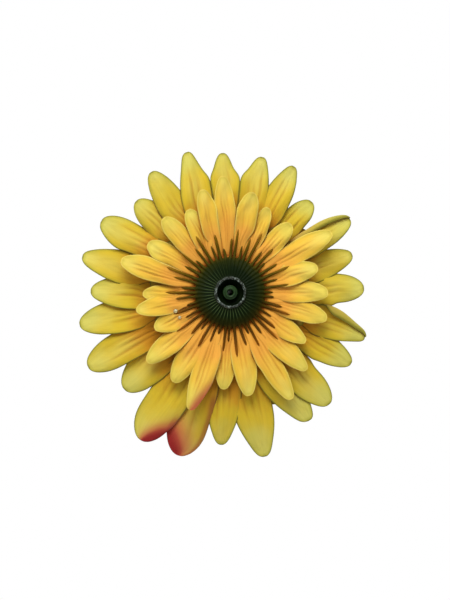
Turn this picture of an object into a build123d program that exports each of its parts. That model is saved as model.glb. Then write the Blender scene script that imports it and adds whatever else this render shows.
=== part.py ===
from build123d import *
from math import cos, radians, sin, tan
import os

# Flower hair clip: four die-cut petal sheets and a bristled green centre, threaded on a tubular peg,
# glued to a felt disc, which is glued to one jaw of a sprung alligator clip.
# Millimetres. The flower faces -Y, +Z is up as worn, and the origin is where the flower's axis meets
# the rear face of the peg's flange. Directions in degrees run counterclockwise from +X, seen from
# the front. "Rise" is a distance in front of the origin, so a rise of 5 is y = -5.

# ---------------------------------------------------------------- driving dimensions
# Petal sheets
PETALS = 24
PITCH = 360 / PETALS
SHEET_THICKNESS = 0.5
PEG_CLEARANCE = 0.1
# A petal's outline below the tip: (share of the way from root to tip, half width as a share of width)
PETAL_STATIONS = ((0.0, 0.28), (0.35, 0.42), (0.68, 0.5))
TIP_STATION = 0.9

# Each petal is (direction in degrees, reach, width, lean, bluntness), clockwise from the top. Lean is how
# far the tip sits to the counterclockwise side of the petal's middle line. Bluntness is the half width at
# the tip station, as a share of the width.
OUTER_PETALS = (
    (92.8, 50.3, 9.0, 0.0, 0.33), (77.7, 50.2, 10.6, -1.2, 0.29), (63.0, 50.9, 9.8, 0.0, 0.31),
    (48.8, 44.3, 9.0, -0.9, 0.38), (30.6, 51.2, 9.7, 0.4, 0.34), (15.3, 46.8, 10.0, 1.2, 0.32),
    (2.6, 49.1, 10.6, -0.9, 0.38), (-15.6, 52.2, 11.2, -2.8, 0.27), (-31.0, 51.6, 10.4, 0.5, 0.34),
    (-49.8, 54.8, 11.2, 1.3, 0.38), (-64.0, 54.9, 12.4, 5.6, 0.32), (-79.3, 61.7, 14.2, 1.6, 0.29),
    (-93.0, 55.8, 11.8, 0.0, 0.30), (-106.8, 62.4, 14.0, -0.4, 0.42), (-121.4, 62.6, 13.4, 0.6, 0.42),
    (-139.0, 51.9, 13.0, 1.6, 0.36), (-154.0, 57.8, 12.0, 1.8, 0.38), (-168.4, 55.4, 11.6, 0.6, 0.36),
    (179.0, 50.1, 10.2, 0.5, 0.37), (167.6, 54.6, 11.4, -1.2, 0.32), (152.6, 52.8, 11.6, -1.6, 0.37),
    (135.2, 47.0, 10.4, 0.4, 0.37), (123.2, 51.6, 10.4, 0.0, 0.34), (109.8, 52.8, 10.8, -2.6, 0.27),
)
INNER_PETALS = (
    (93.8, 41.7, 7.2, 0.0, 0.34), (78.7, 36.6, 7.4, -0.6, 0.38), (63.9, 33.3, 5.6, 1.2, 0.38),
    (48.6, 32.8, 7.0, 0.0, 0.38), (31.4, 42.2, 8.2, -0.5, 0.33), (16.3, 32.6, 7.0, 0.0, 0.36),
    (2.3, 35.1, 7.4, -1.5, 0.36), (-13.2, 36.0, 7.6, -1.2, 0.34), (-32.7, 32.4, 6.8, -0.4, 0.30),
    (-46.4, 39.2, 7.8, 0.6, 0.30), (-61.2, 44.2, 7.8, 0.8, 0.32), (-77.4, 37.8, 8.2, -1.6, 0.32),
    (-93.9, 35.0, 7.2, 0.0, 0.34), (-107.4, 44.3, 8.2, -1.4, 0.30), (-123.7, 38.1, 8.2, 0.8, 0.34),
    (-140.6, 38.8, 7.8, 0.3, 0.33), (-154.7, 30.0, 6.6, 0.0, 0.36), (-169.5, 34.2, 7.0, 0.0, 0.32),
    (179.6, 31.3, 5.8, 0.7, 0.36), (163.5, 40.7, 8.4, 0.0, 0.34), (147.9, 34.3, 7.2, 0.7, 0.38),
    (131.5, 35.8, 7.2, 0.3, 0.38), (117.0, 33.3, 6.6, 0.0, 0.38), (105.6, 38.1, 6.8, 0.0, 0.36),
)
# The two hidden sheets fill the gaps, half a pitch round from the visible ones.
HIDDEN_BLUNTNESS = 0.34
MIDDLE_REACH = 29.0
MIDDLE_WIDTH = 6.6
BACK_REACH = 36.0
BACK_REACH_SWING = 11.5
BACK_LONGEST_DIRECTION = -90
BACK_WIDTH = 9.4

# Where each sheet's rear face runs: (radius, rise)
BACK_SHEET_CURVE = ((0, 1.2), (8, 1.2), (25, 2.9), (42, 3.1), (66, 0.4))
OUTER_SHEET_CURVE = ((0, 1.75), (8, 1.75), (25, 4.1), (42, 4.7), (66, 2.4))
MIDDLE_SHEET_CURVE = ((0, 4.3), (8, 4.3), (20, 7.0), (32, 8.5), (48, 8.3))
INNER_SHEET_CURVE = ((0, 4.9), (8, 4.9), (20, 8.1), (32, 10.0), (48, 10.2))
OUTER_ROOT_RADIUS = 15
INNER_ROOT_RADIUS = 11
ROOT_OVERLAP = 1.5

# Spacer between the outer pair of sheets and the inner pair
SPACER_RADIUS = 6.0
SPACER_FRONT = 4.25
SPACER_REAR = 2.3

# Centre: a ribbed boss with a collar round a well, and thin fingers over the petals
BOSS_RADIUS = 13.4
BOSS_REAR = 5.5
BOSS_HUB_RADIUS = 7.5
BOSS_RIM_REAR = 7.4
BOSS_RIM_FRONT = 8.1
BOSS_CROWN = 9.6
COLLAR_RADIUS = 5.6
COLLAR_WALL = 0.9
COLLAR_FRONT = 11.0
WELL_FLOOR = 7.2
FINGERS = 48
FINGER_ROOT_RADIUS = 12.4
FINGER_SHORT = 15.6
FINGER_LONG = 24.6
FINGER_ROOT_WIDTH = 1.1
FINGER_TIP_WIDTH = 0.5
FINGER_THICKNESS = 0.5
FINGER_GAP = 0.5
FINGER_SEQUENCE = 0.618034  # share of a turn between one finger's length and the next one's

# Drops of clear glue on the inner sheet: (place between fingers, radius on the flower, size)
GLUE_DROPS = ((26.5, 20.7, 0.75), (27.5, 20.2, 0.6))
DROP_GAP = 0.8

# Peg
FLANGE_RADIUS = 9.0
FLANGE_THICKNESS = 1.15
PEG_RADIUS = 2.6
PEG_BORE_RADIUS = 1.1
PEG_LENGTH = 10.6
PEG_CHAMFER = 0.3

# Felt and glue, all behind the origin
HEAD_GLUE_RADIUS = 8.0
HEAD_GLUE_THICKNESS = 0.4
FELT_RADIUS = 17.5
FELT_THICKNESS = 1.5
CLIP_GLUE_LENGTH = 29.0
CLIP_GLUE_WIDTH = 11.0
CLIP_GLUE_THICKNESS = 0.5

# Alligator clip, along X, mouth at -X, tails at +X
STEEL = 0.6
CLIP_FRONT_X = -27.0
BASE_BEND_X = 19.5
BASE_TAIL_LENGTH = 9.5
BASE_TAIL_ANGLE = 8
BASE_HALF_WIDTH = 4.5
LEVER_HALF_WIDTH = 3.8
PIVOT_X = 15.0
PIVOT_HEIGHT = 2.9  # above the base jaw's inner face
EAR_RADIUS = 2.6
BASE_EAR_HALF_LENGTH = 3.6
BASE_FLANGE_END_X = 8.0
TOOTH_PITCH = 2.4
TOOTH_HEIGHT = 0.8
BASE_FLANGE_HEIGHT = 1.7
LEVER_BLADE_HEIGHT = 2.3  # lever's centreline above the base jaw's inner face
LEVER_BLADE_END_X = 5.0
LEVER_HUMP_START = (11.2, 5.9)
LEVER_HUMP_END = (18.0, 6.3)
LEVER_TAIL_END = (29.5, 9.5)
LEVER_FLANGE_REACH = 1.6
LEVER_LIP = 1.3
BEND_RADIUS = 1.6
CORNER_RADIUS = 2.6

# Hinge pin and spring
PIN_RADIUS = 1.0
PIN_HEAD_RADIUS = 1.7
PIN_HEAD_THICKNESS = 0.45
PIN_FIXED_CLEARANCE = 0.02
PIN_RUNNING_CLEARANCE = 0.05
WIRE_RADIUS = 0.4
COIL_RADIUS = 1.75
COIL_PITCH = 1.0
COIL_FULL_TURNS = 4
SPRING_LEVER_ANGLE = 15
SPRING_BASE_ANGLE = -4.5
SPRING_LEG = 8.5

# ---------------------------------------------------------------- worked out from them
SHEET_HOLE_RADIUS = PEG_RADIUS + PEG_CLEARANCE
FELT_FRONT_Y = HEAD_GLUE_THICKNESS
FELT_REAR_Y = FELT_FRONT_Y + FELT_THICKNESS
BASE_FRONT_Y = FELT_REAR_Y + CLIP_GLUE_THICKNESS
BASE_INNER_Y = BASE_FRONT_Y + STEEL
PIVOT_Y = BASE_INNER_Y + PIVOT_HEIGHT


def middle_petals():
    """Short petals that stand in the inner sheet's gaps."""
    return [((i + 0.5) * PITCH, MIDDLE_REACH, MIDDLE_WIDTH, 0, HIDDEN_BLUNTNESS) for i in range(PETALS)]


def back_petals():
    """Petals that stand in the outer sheet's gaps, longer towards the bottom of the flower."""
    petals = []
    for i in range(PETALS):
        direction = (i + 0.5) * PITCH
        swing = BACK_REACH_SWING * max(0, cos(radians(direction - BACK_LONGEST_DIRECTION))) ** 4
        petals.append((direction, BACK_REACH + swing, BACK_WIDTH, 0, HIDDEN_BLUNTNESS))
    return petals


def petal_side(reach, width, lean, bluntness, root, side):
    """One long edge of a petal that points along +X; side is 1 or -1."""
    points = []
    for share, half in (*PETAL_STATIONS, (TIP_STATION, bluntness), (1, 0)):
        x = root + share * (reach - root)
        points.append((x, lean * share**2 + side * half * width))
    return Spline(*points, tangents=((1, 0.2 * side), (0, -side)))


def petal_outline(reach, width, lean, bluntness, root):
    """One petal pointing along +X, with a round tip."""
    high = petal_side(reach, width, lean, bluntness, root, 1)
    low = petal_side(reach, width, lean, bluntness, root, -1)
    return make_face([high, low, Line(high @ 0, low @ 0)])


def sheet_outline(petals, root):
    """A die-cut sheet laid flat: a web with petals round it and a hole for the peg."""
    outline = Circle(root + ROOT_OVERLAP)
    for direction, *shape in petals:
        outline += Rot(0, 0, direction) * petal_outline(*shape, root)
    return outline - Circle(SHEET_HOLE_RADIUS)


def dish(curve):
    """A thin pressed dish whose rear face follows the curve of (radius, rise) points."""
    hub, bend, *rest = [(radius, -rise) for radius, rise in curve]
    front = [(radius, y - SHEET_THICKNESS) for radius, y in (hub, bend, *rest)]
    rear_flat = Line(hub, bend)
    rear_curve = Spline(bend, *rest)
    front_flat = Line(front[0], front[1])
    front_curve = Spline(*front[1:])
    edge = Line(rest[-1], front[-1])
    axis = Line(hub, front[0])
    profile = make_face([rear_flat, rear_curve, edge, front_curve, front_flat, axis])
    return revolve(profile, Axis.Y)


def petal_sheet(petals, root, curve):
    """The dish, cut to the outline of its petals."""
    deep = 2 * max(rise for _, rise in curve)
    prism = extrude(Plane.XZ * sheet_outline(petals, root), amount=deep)
    return dish(curve) & prism


def rise_at(curve, radius):
    """Rise of a sheet's rear face at a radius, by straight lines between the curve's points."""
    for (r0, h0), (r1, h1) in zip(curve, curve[1:]):
        if radius <= r1:
            return h0 + (h1 - h0) * (radius - r0) / (r1 - r0)
    return curve[-1][1]


def ring(outer, inner, front_rise, rear_rise):
    """A flat ring on the flower's axis between two rises."""
    flat = Circle(outer) - Circle(inner)
    return Pos(0, -rear_rise, 0) * extrude(Plane.XZ * flat, amount=front_rise - rear_rise)


def disc(radius, rear_y, thickness):
    """A flat disc on the flower's axis."""
    return Pos(0, rear_y, 0) * extrude(Plane.XZ * Circle(radius), amount=thickness)


def finger_length(i):
    """Radius that finger i reaches: lengths are spread evenly, in a shuffled order."""
    return FINGER_SHORT + (FINGER_LONG - FINGER_SHORT) * ((i * FINGER_SEQUENCE) % 1)


def finger(i):
    """A tapered bar that lies just in front of the inner sheet."""
    tip = finger_length(i)
    root_y = -(rise_at(INNER_SHEET_CURVE, FINGER_ROOT_RADIUS) + SHEET_THICKNESS + FINGER_GAP)
    tip_y = -(rise_at(INNER_SHEET_CURVE, tip) + SHEET_THICKNESS + FINGER_GAP)
    side = Polyline(
        (FINGER_ROOT_RADIUS, root_y),
        (tip, tip_y),
        (tip, tip_y - FINGER_THICKNESS),
        (FINGER_ROOT_RADIUS, root_y - FINGER_THICKNESS),
        close=True,
    )
    half_root, half_tip = FINGER_ROOT_WIDTH / 2, FINGER_TIP_WIDTH / 2
    plan = Polyline(
        (FINGER_ROOT_RADIUS, -half_root),
        (tip, -half_tip),
        (tip, half_tip),
        (FINGER_ROOT_RADIUS, half_root),
        close=True,
    )
    bar = extrude(make_face(side), amount=FINGER_ROOT_WIDTH, both=True)
    taper = extrude(Plane.XZ * make_face(plan), amount=2 * COLLAR_FRONT)
    return Rot(0, -i * 360 / FINGERS, 0) * (bar & taper)


def stamen_boss():
    """The green centre: a shallow cone with a collar round a well, and a fringe of fingers."""
    inner = COLLAR_RADIUS - COLLAR_WALL
    profile = Polyline(
        (SHEET_HOLE_RADIUS, -BOSS_REAR),
        (BOSS_HUB_RADIUS, -BOSS_REAR),
        (BOSS_RADIUS, -BOSS_RIM_REAR),
        (BOSS_RADIUS, -BOSS_RIM_FRONT),
        (COLLAR_RADIUS, -BOSS_CROWN),
        (COLLAR_RADIUS, -COLLAR_FRONT),
        (inner, -COLLAR_FRONT),
        (inner, -WELL_FLOOR),
        (SHEET_HOLE_RADIUS, -WELL_FLOOR),
        close=True,
    )
    boss = revolve(make_face(profile), Axis.Y)
    return boss + [finger(i) for i in range(FINGERS)]


def calyx_peg():
    """A tube with a wide rear flange, which carries the sheets and the centre."""
    flange = ring(FLANGE_RADIUS, PEG_BORE_RADIUS, FLANGE_THICKNESS, 0)
    tube = ring(PEG_RADIUS, PEG_BORE_RADIUS, PEG_LENGTH, 0)
    peg = flange + tube
    mouth = peg.edges().filter_by(GeomType.CIRCLE).group_by(Axis.Y)[0]
    return chamfer(mouth, PEG_CHAMFER)


def glue_drops():
    """Half-round drops that sit between fingers, just clear of the inner sheet."""
    drops = []
    for place, radius, size in GLUE_DROPS:
        y = -(rise_at(INNER_SHEET_CURVE, radius) + DROP_GAP)
        dome = Rot(90, 0, 0) * Sphere(size, arc_size1=0, align=(Align.CENTER, Align.CENTER, Align.MIN))
        drops.append(Rot(0, -place * 360 / FINGERS, 0) * Pos(radius, y, 0) * dome)
    return Compound(drops)


def rounded_plate(x_low, x_high, half_width, radius):
    """A plan outline in X and Z, rounded at its corners."""
    plan = Rectangle(x_high - x_low, 2 * half_width)
    plan = fillet(plan.vertices(), radius)
    return Pos((x_low + x_high) / 2, 0) * plan


def teeth(x_low, x_high, gum, tip):
    """A toothed strip's outline from the gum line to the tips, both in Y."""
    count = int((x_high - x_low) / TOOTH_PITCH)
    points = [(x_low, gum)]
    for i in range(count):
        points.append((x_low + (i + 0.5) * TOOTH_PITCH, tip))
        points.append((x_low + (i + 1) * TOOTH_PITCH, gum))
    return points


def both_sides(face, half_width):
    """A side plate of the clip, one sheet thick, on each side."""
    plate = extrude(face, amount=STEEL)
    low_side = Pos(0, 0, -half_width) * plate
    high_side = Pos(0, 0, half_width - STEEL) * plate
    return low_side + high_side


def bent_strip(points, half_width):
    """A strip of sheet steel bent along a centreline, its corners rounded in plan."""
    line = Polyline(*points)
    line = fillet(line.vertices().sort_by(Axis.X)[1:-1], BEND_RADIUS)
    return extrude(trace(line, STEEL), amount=half_width, both=True)


def clip_base_jaw():
    """The jaw that is glued to the felt: a toothed channel with hinge ears and a flared tail."""
    middle_y = BASE_FRONT_Y + STEEL / 2
    tail_x = BASE_BEND_X + BASE_TAIL_LENGTH * cos(radians(BASE_TAIL_ANGLE))
    tail_y = middle_y - BASE_TAIL_LENGTH * sin(radians(BASE_TAIL_ANGLE))
    web = bent_strip([(CLIP_FRONT_X, middle_y), (BASE_BEND_X, middle_y), (tail_x, tail_y)], BASE_HALF_WIDTH)
    plan = rounded_plate(CLIP_FRONT_X, tail_x, BASE_HALF_WIDTH, CORNER_RADIUS)
    web &= Pos(0, PIVOT_Y, 0) * extrude(Plane.XZ * plan, amount=2 * PIVOT_Y)

    low = CLIP_FRONT_X + CORNER_RADIUS
    gum = BASE_INNER_Y + BASE_FLANGE_HEIGHT - TOOTH_HEIGHT
    edge = teeth(low, BASE_FLANGE_END_X, gum, BASE_INNER_Y + BASE_FLANGE_HEIGHT)
    end_x = edge[-1][0]
    flange = Polyline((low, middle_y), *edge, (end_x, middle_y), close=True)

    ear = Pos(PIVOT_X, PIVOT_Y) * Circle(EAR_RADIUS)
    foot = Polyline(
        (PIVOT_X - BASE_EAR_HALF_LENGTH, middle_y),
        (PIVOT_X - EAR_RADIUS, PIVOT_Y),
        (PIVOT_X + EAR_RADIUS, PIVOT_Y),
        (PIVOT_X + BASE_EAR_HALF_LENGTH, middle_y),
        close=True,
    )
    ear += make_face(foot)
    ear -= Pos(PIVOT_X, PIVOT_Y) * Circle(PIN_RADIUS + PIN_FIXED_CLEARANCE)
    return web + both_sides(make_face(flange), BASE_HALF_WIDTH) + both_sides(ear, BASE_HALF_WIDTH)


def clip_lever_jaw():
    """The jaw that moves: a toothed blade, a hump over the spring with ears, and a thumb tail."""
    blade_y = BASE_INNER_Y + LEVER_BLADE_HEIGHT
    front_x = CLIP_FRONT_X + STEEL
    line = [
        (front_x, blade_y - LEVER_LIP),
        (front_x + STEEL, blade_y),
        (LEVER_BLADE_END_X, blade_y),
        (LEVER_HUMP_START[0], BASE_INNER_Y + LEVER_HUMP_START[1]),
        (LEVER_HUMP_END[0], BASE_INNER_Y + LEVER_HUMP_END[1]),
        (LEVER_TAIL_END[0], BASE_INNER_Y + LEVER_TAIL_END[1]),
    ]
    web = extrude(trace(Polyline(*line), STEEL), amount=LEVER_HALF_WIDTH, both=True)
    plan = rounded_plate(CLIP_FRONT_X, LEVER_TAIL_END[0], LEVER_HALF_WIDTH, CORNER_RADIUS)
    web &= Pos(0, 2 * PIVOT_Y, 0) * extrude(Plane.XZ * plan, amount=2 * PIVOT_Y)

    low = CLIP_FRONT_X + CORNER_RADIUS
    gum = blade_y - LEVER_FLANGE_REACH + TOOTH_HEIGHT
    edge = teeth(low, LEVER_BLADE_END_X, gum, blade_y - LEVER_FLANGE_REACH)
    flange = Polyline((low, blade_y), *edge, (edge[-1][0], blade_y), close=True)

    ear = Pos(PIVOT_X, PIVOT_Y) * Circle(EAR_RADIUS)
    neck = Polyline(
        (PIVOT_X - EAR_RADIUS, PIVOT_Y),
        line[3],
        line[4],
        (PIVOT_X + EAR_RADIUS, PIVOT_Y),
        close=True,
    )
    ear += make_face(neck)
    ear -= Pos(PIVOT_X, PIVOT_Y) * Circle(PIN_RADIUS + PIN_RUNNING_CLEARANCE)
    return web + both_sides(make_face(flange), LEVER_HALF_WIDTH) + both_sides(ear, LEVER_HALF_WIDTH)


def hinge_pin():
    """A rivet through both jaws' ears, with a flat head at each end."""
    shank_half = BASE_HALF_WIDTH + PIN_HEAD_THICKNESS
    pin = Cylinder(PIN_RADIUS, 2 * shank_half)
    head = Cylinder(PIN_HEAD_RADIUS, PIN_HEAD_THICKNESS)
    head_z = BASE_HALF_WIDTH + PIN_HEAD_THICKNESS / 2 + 0.05
    pin += [Pos(0, 0, head_z) * head, Pos(0, 0, -head_z) * head]
    rims = pin.edges().filter_by(GeomType.CIRCLE).group_by(Axis.Z)
    pin = fillet(rims[0] + rims[-1], PIN_HEAD_THICKNESS / 3)
    return Pos(PIVOT_X, PIVOT_Y, 0) * pin


def torsion_spring():
    """A coil round the pin whose two legs hold the tails apart, and so the jaws shut."""
    start = 90 + SPRING_LEVER_ANGLE
    end = 270 + SPRING_BASE_ANGLE + COIL_FULL_TURNS * 360
    height = COIL_PITCH * (end - start) / 360
    coil = Rot(0, 0, start) * Helix(COIL_PITCH, height, COIL_RADIUS)
    coil = Pos(PIVOT_X, PIVOT_Y, -height / 2) * coil
    lever_leg = Line(coil @ 0 - (coil % 0) * SPRING_LEG, coil @ 0)
    base_leg = Line(coil @ 1, coil @ 1 + (coil % 1) * SPRING_LEG)
    path = Wire([lever_leg, coil, base_leg])
    section = Plane(origin=path @ 0, z_dir=path % 0) * Circle(WIRE_RADIUS)
    return sweep(section, path=path, is_frenet=True)


def clip_glue():
    """The pad of hot glue between the felt and the base jaw."""
    plan = Rectangle(CLIP_GLUE_LENGTH, CLIP_GLUE_WIDTH)
    plan = fillet(plan.vertices(), CLIP_GLUE_WIDTH / 3)
    return Pos(0, BASE_FRONT_Y, 0) * extrude(Plane.XZ * plan, amount=CLIP_GLUE_THICKNESS)


PARTS = {
    "petal_sheet_back": petal_sheet(back_petals(), OUTER_ROOT_RADIUS, BACK_SHEET_CURVE),
    "petal_sheet_outer": petal_sheet(OUTER_PETALS, OUTER_ROOT_RADIUS, OUTER_SHEET_CURVE),
    "petal_sheet_middle": petal_sheet(middle_petals(), INNER_ROOT_RADIUS, MIDDLE_SHEET_CURVE),
    "petal_sheet_inner": petal_sheet(INNER_PETALS, INNER_ROOT_RADIUS, INNER_SHEET_CURVE),
    "sheet_spacer": ring(SPACER_RADIUS, SHEET_HOLE_RADIUS, SPACER_FRONT, SPACER_REAR),
    "stamen_boss": stamen_boss(),
    "glue_drops": glue_drops(),
    "calyx_peg": calyx_peg(),
    "head_glue": disc(HEAD_GLUE_RADIUS, FELT_FRONT_Y, HEAD_GLUE_THICKNESS),
    "felt_pad": disc(FELT_RADIUS, FELT_REAR_Y, FELT_THICKNESS),
    "clip_glue": clip_glue(),
    "clip_base_jaw": clip_base_jaw(),
    "clip_lever_jaw": clip_lever_jaw(),
    "hinge_pin": hinge_pin(),
    "torsion_spring": torsion_spring(),
}

os.makedirs("parts", exist_ok=True)
for name, shape in PARTS.items():
    export_step(shape, f"parts/{name}.step")
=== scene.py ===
import bmesh
import bpy
import random
import numpy as np
from math import copysign, cos, exp, hypot, pi, radians, sin, tan
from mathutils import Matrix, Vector, noise
from mathutils.bvhtree import BVHTree


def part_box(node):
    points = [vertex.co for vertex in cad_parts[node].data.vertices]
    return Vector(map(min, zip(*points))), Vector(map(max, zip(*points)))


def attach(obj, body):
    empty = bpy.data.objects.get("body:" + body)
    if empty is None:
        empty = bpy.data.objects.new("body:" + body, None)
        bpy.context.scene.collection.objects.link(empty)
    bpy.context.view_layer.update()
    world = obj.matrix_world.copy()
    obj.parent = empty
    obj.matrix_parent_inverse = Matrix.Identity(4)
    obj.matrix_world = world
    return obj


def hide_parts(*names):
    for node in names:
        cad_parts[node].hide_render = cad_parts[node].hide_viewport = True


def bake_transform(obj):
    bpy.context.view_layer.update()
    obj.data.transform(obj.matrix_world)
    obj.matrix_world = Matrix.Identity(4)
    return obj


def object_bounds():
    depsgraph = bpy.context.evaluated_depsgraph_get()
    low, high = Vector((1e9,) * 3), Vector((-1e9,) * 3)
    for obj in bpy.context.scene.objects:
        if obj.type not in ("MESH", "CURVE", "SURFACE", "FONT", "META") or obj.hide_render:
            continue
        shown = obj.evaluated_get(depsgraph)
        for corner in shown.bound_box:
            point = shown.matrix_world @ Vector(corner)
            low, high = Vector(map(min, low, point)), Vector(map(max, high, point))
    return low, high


# Looks of a flower hair clip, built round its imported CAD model.
# Sizes are in millimetres until a mesh is made, and metres in the scene. The flower faces -Y and +Z is
# up. "Rise" is a distance in front of the origin, so a rise of 5 is y = -5. Directions run
# counterclockwise from +X, seen from the front. A petal's "share" runs from 0 at its root to 1 at its
# tip, and its "v" from -1 at its right edge to 1 at its left edge, seen from the front with the tip up.

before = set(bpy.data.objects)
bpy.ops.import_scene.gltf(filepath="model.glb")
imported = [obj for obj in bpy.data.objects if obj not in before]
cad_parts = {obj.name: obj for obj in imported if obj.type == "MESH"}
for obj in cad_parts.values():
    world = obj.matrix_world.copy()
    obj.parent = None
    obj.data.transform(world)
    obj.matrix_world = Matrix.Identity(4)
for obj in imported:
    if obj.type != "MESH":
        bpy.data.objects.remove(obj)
cad_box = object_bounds()
MM = 0.001

# ---- petals
# Rows and columns of points in a petal's surface
SEEN_GRID = (46, 26)
HIDDEN_GRID = (30, 14)
ROW_CROWDING = 1.6
TIP_TRIM = 0.04
SHEET_THICKNESS = 0.38
WEB_OVERLAP = 2.0
WEB_ROWS = 10
WEB_INSET = 5
CURL_DEPTH = 0.4
GRAIN_HEIGHT = 0.16
# Crease spacing, by the number of creases on a petal
CREASE_SPREAD = {2: 2.0, 3: 1.7}

# Measuring a petal's edge off its CAD sheet
SAME_PETAL = radians(4)
PETAL_WINDOW = radians(4.5)
SAME_REACH = 0.001
PROBE_STEP = 0.5
HALVINGS = 6
EDGE_SAMPLES = 5
EDGE_BEND = 7.0
ROOT_NARROWING = 0.38
TOUCH_SHORTFALL = 0.1
TOUCH_SOFTNESS = 0.5
TOUCH_FADE = 6
SLIT_FADE = 5
SLIT_FREEDOM = 9
JOINED_EXTRA = 9
CURVE_START = 4
CURVE_STEP = 2.0
CURVE_MARGIN = 0.5
CURVE_DEGREE = 6

OUTER, INNER = "petal_sheet_outer", "petal_sheet_inner"
# Petals that differ from the rest, found by their direction in degrees.
# Blush: (sheet, direction, side the red is on, where it starts along the petal, strength, and how
# closely it keeps to its side)
BLUSHES = (
    (OUTER, -106, -1, 0.48, 1.0, 0.42),
    (OUTER, -118, 1, 0.72, 1.0, 0.75),
    (INNER, -109, 1, 0.58, 0.7, 0.75),
)
# Curl: (sheet, direction, side, degrees at the edge, where it starts along and across the petal,
# and the painted shade along it: 1 for olive, -1 for brown)
CURLS = (
    (OUTER, -18.7, 1, 165, 0.34, 0.35, 1),
    (OUTER, -18.7, -1, -70, 0.7, 0.5, 1),
    (OUTER, -118, 1, -110, 0.6, 0.62, -1),
    (OUTER, -106, 1, -95, 0.35, 0.6, -1),
    (OUTER, 31.5, 1, 165, 0.12, 0.45, 1),
    (OUTER, 123.2, 1, -85, 0.35, 0.6, 1),
    (OUTER, 135.6, 1, -85, 0.3, 0.6, 1),
)
# Neighbours on the inner sheet that stay joined far out: (direction, direction)
JOINED_PAIRS = ((105.6, 93.8), (93.8, 77.8), (164, 149))


def smooth(low, high, value):
    """0 below low, 1 above high, and an even S between."""
    share = np.clip((np.asarray(value, float) - low) / (high - low), 0, 1)
    return share * share * (3 - 2 * share)


def turn(a, b):
    """Angle from b to a, in radians, between -pi and pi."""
    return (a - b + pi) % (2 * pi) - pi


def vertices_mm(node):
    return np.array([v.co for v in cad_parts[node].data.vertices], float) / MM


def radius_and_rise(node):
    """Each CAD point's distance from the flower's axis, and its rise."""
    points = vertices_mm(node)
    return np.hypot(points[:, 0], points[:, 2]), -points[:, 1]


def surface(mesh):
    """A mesh's surface in millimetres, for casting rays at."""
    points = [tuple(v.co / MM) for v in mesh.vertices]
    return BVHTree.FromPolygons(points, [tuple(p.vertices) for p in mesh.polygons])


def cad_surface(node):
    return surface(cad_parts[node].data)


def turned(along, across, direction):
    """(x, z) of a place that is so far along a direction and so far to the left of it."""
    x_share, z_share = cos(direction), sin(direction)
    return along * x_share - across * z_share, along * z_share + across * x_share


def front_rise(tree, along, across, direction):
    """Rise of a surface's front at a place, or None where there is nothing."""
    x, z = turned(along, across, direction)
    where = tree.ray_cast(Vector((x, -50, z)), Vector((0, 1, 0)))[0]
    return None if where is None else -where.y


def soft_noise(x, y, z):
    return noise.noise(Vector((x, y, z)))


def tips(node, window, beyond):
    """(direction, reach) of each petal or finger: outline points that nothing near passes."""
    points = vertices_mm(node)
    radius = np.hypot(points[:, 0], points[:, 2])
    keep = radius > beyond
    radius = radius[keep]
    direction = np.arctan2(points[keep, 2], points[keep, 0])
    found = []
    for i in np.argsort(-radius):
        away = np.abs(turn(direction, direction[i]))
        if radius[i] < radius[away < window].max() - SAME_REACH:
            continue
        if all(abs(turn(direction[i], d)) > window / 2 for d, _ in found):
            found.append((float(direction[i]), float(radius[i])))
    return sorted(found)


def edge_distance(tree, direction, along, side, limit):
    """How far the edge is from a petal's middle line, or None where it runs into its neighbour."""

    def misses(across):
        return front_rise(tree, along, side * across, direction) is None

    inner = 0.0
    while inner < limit:
        outer = inner + PROBE_STEP
        if misses(outer):
            for _ in range(HALVINGS):
                middle = (inner + outer) / 2
                inner, outer = (inner, middle) if misses(middle) else (middle, outer)
            return inner
        inner = outer
    return None


def half_widths(tree, direction, neighbour, side, stations, slit, closed):
    """Distance from the middle line to one edge at each station. It is the line shared with the
    neighbour up to the slit, then the petal's own edge, carried on inwards where the neighbour hides
    it. No daylight is left between the two before the radius "closed"."""
    apart = abs(turn(neighbour, direction))
    edge = [edge_distance(tree, direction, a, side, a * tan(apart)) for a in stations]
    free = len(stations)
    while free > 0 and edge[free - 1] is not None:
        free -= 1
    ahead = min(free + EDGE_SAMPLES, len(stations) - 1)
    free = min(free, ahead - 1)
    first, widest = stations[free], edge[free] or 0.5
    slope = max(0.0, (widest - (edge[ahead] or widest)) / (stations[ahead] - first))
    result = []
    for along, own in zip(stations, edge):
        shared = along * tan(apart / 2)
        if along < first:
            inward = first - along
            own = widest + slope * EDGE_BEND * (1 - exp(-inward / EDGE_BEND))
            own *= 1 - ROOT_NARROWING * (inward / (first - stations[0])) ** 1.5
        touching = (shared - TOUCH_SHORTFALL) * (1 - float(smooth(closed, closed + TOUCH_FADE, along)))
        own = (own + touching + hypot(own - touching, TOUCH_SOFTNESS)) / 2
        mix = float(smooth(slit, slit + SLIT_FADE, along))
        result.append(shared + (own - shared) * mix)
    return evened(np.array(result))


def evened(values, passes=3, tip=7):
    """A running average that leaves the values at the tip as they are."""
    for _ in range(passes):
        padded = np.concatenate([values[:1], values, values[-1:]])
        soft = (padded[:-2] + 2 * padded[1:-1] + padded[2:]) / 4
        values = np.concatenate([soft[:-tip], values[-tip:]])
    return values


def sheet_curve(tree, petals):
    """A smooth formula for the rise of a sheet's front face at a radius."""
    radii, rises = [], []
    for direction, reach in petals:
        for radius in np.arange(CURVE_START, reach - CURVE_MARGIN, CURVE_STEP):
            rise = front_rise(tree, radius, 0, direction)
            if rise is not None:
                radii.append(radius)
                rises.append(rise)
    return np.poly1d(np.polyfit(radii, rises, CURVE_DEGREE))


def near(direction, degrees):
    return abs(turn(direction, radians(degrees))) < SAME_PETAL


def listed(table, node, direction):
    """Rows of a given list that belong to this petal."""
    return [row[2:] for row in table if row[0] == node and near(direction, row[1])]


def is_joined(a, b):
    return any((near(a, p) and near(b, q)) or (near(a, q) and near(b, p)) for p, q in JOINED_PAIRS)


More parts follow.
